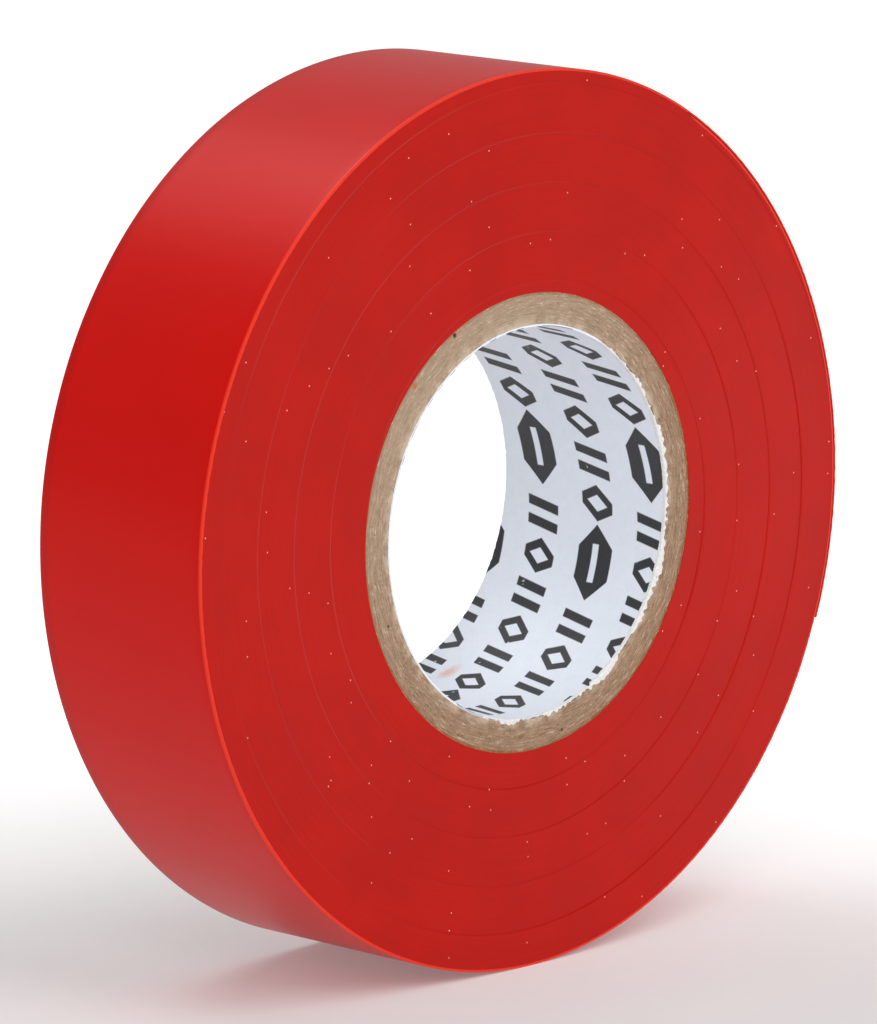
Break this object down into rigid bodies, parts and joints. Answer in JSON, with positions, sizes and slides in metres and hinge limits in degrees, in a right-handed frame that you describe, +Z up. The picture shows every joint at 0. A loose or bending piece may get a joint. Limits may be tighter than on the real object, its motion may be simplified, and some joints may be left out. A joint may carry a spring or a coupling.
{
  "type": "electrical tape roll",
  "caption": "Upright roll of glossy red PVC insulating tape on a layered paperboard core with a printed white bore liner; its free end peels up.",
  "frame": {"origin": "centre of the roll, on the core's axis, halfway between the two faces", "axes": "+Y along the core's axis, the front face looks towards -Y; +Z up with the roll standing as a wheel; +X to the right as the front face is seen"},
  "size_m": [0.0759, 0.019, 0.0757],
  "materials": {
    "pvc_tape": "calendered red PVC film, glossy outside, satin on the slit edges",
    "coated_paper": "coated white paper with black print",
    "chipboard": "bare recycled board, cut edge",
    "kraft_paper": "bare kraft paper, cut edge"
  },
  "bodies": {
    "roll": {"core_liner": "coated_paper", "board_ply_1": "chipboard", "board_ply_2": "chipboard", "board_ply_3": "chipboard", "board_ply_4": "chipboard", "board_ply_5": "chipboard", "board_ply_6": "chipboard", "kraft_outer_ply": "kraft_paper", "wound_tape": "pvc_tape", "outer_turn": "pvc_tape"},
    "free_end_1": {"tail_1": "pvc_tape"},
    "free_end_2": {"tail_2": "pvc_tape"},
    "free_end_3": {"tail_3": "pvc_tape"},
    "free_end_4": {"tail_4": "pvc_tape"},
    "free_end_5": {"tail_5": "pvc_tape"},
    "free_end_6": {"tail_6": "pvc_tape"},
    "free_end_7": {"tail_7": "pvc_tape"},
    "free_end_8": {"tail_8": "pvc_tape"}
  },
  "joints": [
    {"name": "peel_1", "type": "hinge", "parent": "roll", "child": "free_end_1", "pos_m": [0.01897, 0, 0.03286], "axis": [0, -1, 0], "range_deg": [0, 40]},
    {"name": "peel_2", "type": "hinge", "parent": "free_end_1", "child": "free_end_2", "pos_m": [0.0244, 0, 0.02908], "axis": [0, -1, 0], "range_deg": [0, 32]},
    {"name": "peel_3", "type": "hinge", "parent": "free_end_2", "child": "free_end_3", "pos_m": [0.02908, 0, 0.0244], "axis": [0, -1, 0], "range_deg": [0, 9]},
    {"name": "peel_4", "type": "hinge", "parent": "free_end_3", "child": "free_end_4", "pos_m": [0.03288, 0, 0.01898], "axis": [0, -1, 0], "range_deg": [0, 9]},
    {"name": "peel_5", "type": "hinge", "parent": "free_end_4", "child": "free_end_5", "pos_m": [0.03568, 0, 0.01299], "axis": [0, -1, 0], "range_deg": [0, 9]},
    {"name": "peel_6", "type": "hinge", "parent": "free_end_5", "child": "free_end_6", "pos_m": [0.0374, 0, 0.0066], "axis": [0, -1, 0], "range_deg": [0, 9]},
    {"name": "peel_7", "type": "hinge", "parent": "free_end_6", "child": "free_end_7", "pos_m": [0.03799, 0, 0], "axis": [0, -1, 0], "range_deg": [0, 9]},
    {"name": "peel_8", "type": "hinge", "parent": "free_end_7", "child": "free_end_8", "pos_m": [0.03742, 0, -0.0066], "axis": [0, -1, 0], "range_deg": [0, 9]}
  ],
  "couplings": [
    {"joint": "peel_2", "follows": "peel_1", "ratio": 0.8},
    {"joint": "peel_3", "follows": "peel_1", "ratio": 0.225},
    {"joint": "peel_4", "follows": "peel_1", "ratio": 0.225},
    {"joint": "peel_5", "follows": "peel_1", "ratio": 0.225},
    {"joint": "peel_6", "follows": "peel_1", "ratio": 0.225},
    {"joint": "peel_7", "follows": "peel_1", "ratio": 0.225},
    {"joint": "peel_8", "follows": "peel_1", "ratio": 0.225}
  ]
}
